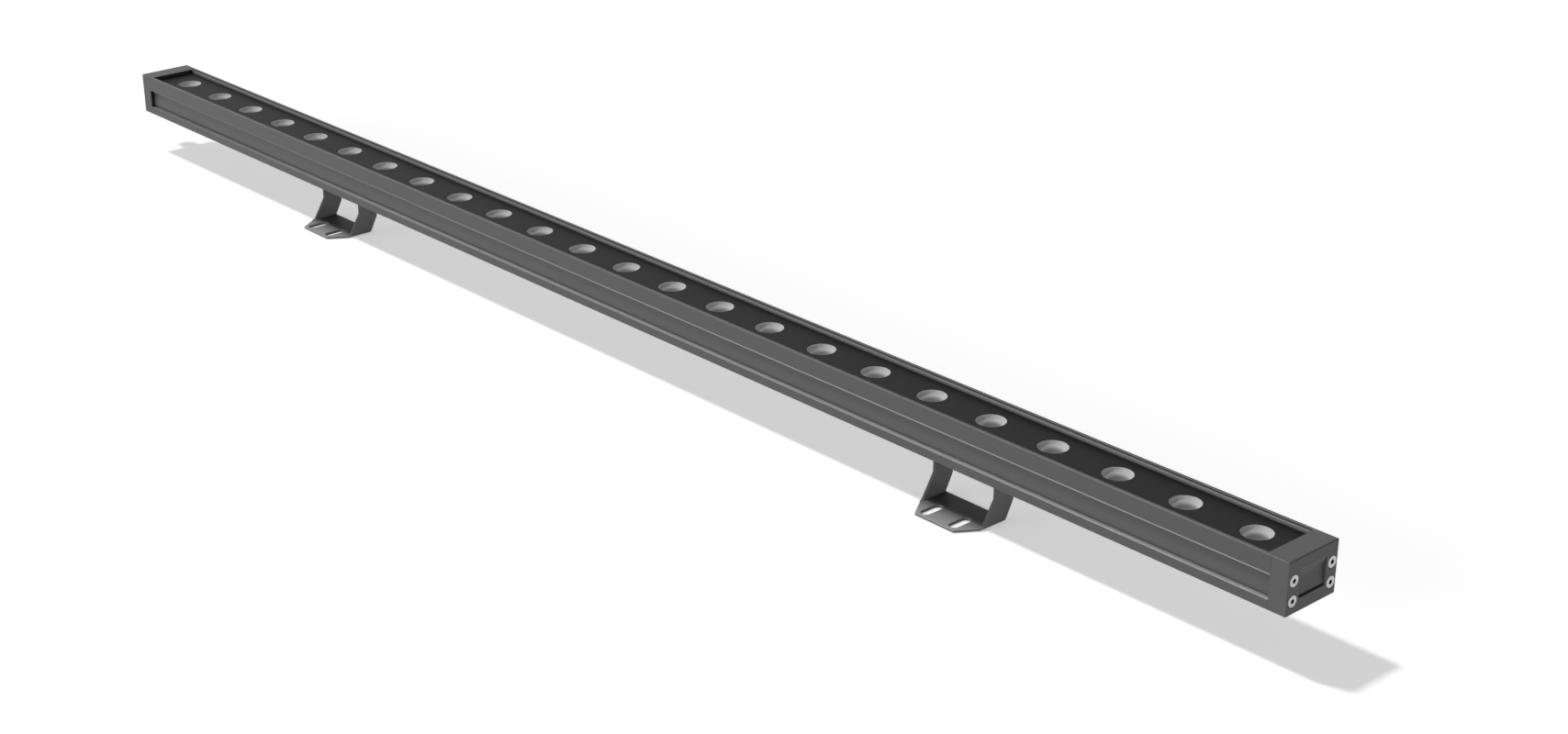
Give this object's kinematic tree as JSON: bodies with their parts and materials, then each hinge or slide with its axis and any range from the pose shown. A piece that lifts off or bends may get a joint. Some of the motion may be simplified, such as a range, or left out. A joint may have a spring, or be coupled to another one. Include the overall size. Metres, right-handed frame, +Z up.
{
  "type": "linear LED light fixture",
  "caption": "Slim linear LED wall-washer bar with a row of recessed lens cups, screwed end caps and two sliding, tilting feet.",
  "frame": {"origin": "on the floor, at the centre of the fixture's footprint", "axes": "+X along the bar, away from the cable gland; +Z up, the way the light leaves; +Y across the bar, away from the toes of the feet"},
  "size_m": [1.0153, 0.045, 0.0543],
  "materials": {
    "anodised_body": "dark grey matte anodised",
    "end_cap": "dark grey satin paint over die-cast aluminium",
    "gasket": "black rubber",
    "screw": "bright stainless steel",
    "mask": "matte black plate",
    "silicone": "black silicone",
    "led_board": "white solder mask with domed emitters",
    "lens": "frosted grey, fluted, satin",
    "driver_board": "green solder mask",
    "lead": "white silicone insulation",
    "gland": "black moulded",
    "foot": "dark grey satin paint on steel sheet",
    "saddle": "dark grey satin paint on steel sheet",
    "t_nut": "zinc plated steel"
  },
  "bodies": {
    "fixture": {"housing": "anodised_body", "end_cap_left": "end_cap", "end_cap_right": "end_cap", "end_gasket_left": "gasket", "end_gasket_right": "gasket", "end_cap_screw_left_1": "screw", "end_cap_screw_left_2": "screw", "end_cap_screw_left_3": "screw", "end_cap_screw_left_4": "screw", "end_cap_screw_right_1": "screw", "end_cap_screw_right_2": "screw", "end_cap_screw_right_3": "screw", "end_cap_screw_right_4": "screw", "mask_plate": "mask", "lens_seal": "silicone", "led_board": "led_board", "lens_01": "lens", "lens_02": "lens", "lens_03": "lens", "lens_04": "lens", "lens_05": "lens", "lens_06": "lens", "lens_07": "lens", "lens_08": "lens", "lens_09": "lens", "lens_10": "lens", "lens_11": "lens", "lens_12": "lens", "lens_13": "lens", "lens_14": "lens", "lens_15": "lens", "lens_16": "lens", "lens_17": "lens", "lens_18": "lens", "lens_19": "lens", "lens_20": "lens", "lens_21": "lens", "lens_22": "lens", "lens_23": "lens", "lens_24": "lens", "driver_board": "driver_board", "jumper_lead_1": "lead", "jumper_lead_2": "lead", "gland_body": "gland", "gland_nut": "gland", "gland_seal": "gasket"},
    "slider_left": {"saddle_left": "saddle", "t_nut_left": "t_nut", "clamp_screw_left_1": "screw", "clamp_screw_left_2": "screw", "pivot_bolt_left": "screw", "pivot_nut_left": "screw"},
    "slider_right": {"saddle_right": "saddle", "t_nut_right": "t_nut", "clamp_screw_right_1": "screw", "clamp_screw_right_2": "screw", "pivot_bolt_right": "screw", "pivot_nut_right": "screw"},
    "foot_left": {"foot_left": "foot"},
    "foot_right": {"foot_right": "foot"}
  },
  "joints": [
    {"name": "slide_left", "type": "slide", "parent": "fixture", "child": "slider_left", "axis": [1, 0, 0], "range_m": [-0.2, 0.24]},
    {"name": "slide_right", "type": "slide", "parent": "fixture", "child": "slider_right", "axis": [1, 0, 0], "range_m": [-0.26, 0.17]},
    {"name": "tilt_left", "type": "hinge", "parent": "slider_left", "child": "foot_left", "pos_m": [-0.25895, 0.00475, 0.0203], "axis": [1, 0, 0], "range_deg": [-70, 90]},
    {"name": "tilt_right", "type": "hinge", "parent": "slider_right", "child": "foot_right", "pos_m": [0.30305, 0.00475, 0.0203], "axis": [1, 0, 0], "range_deg": [-70, 90]}
  ]
}
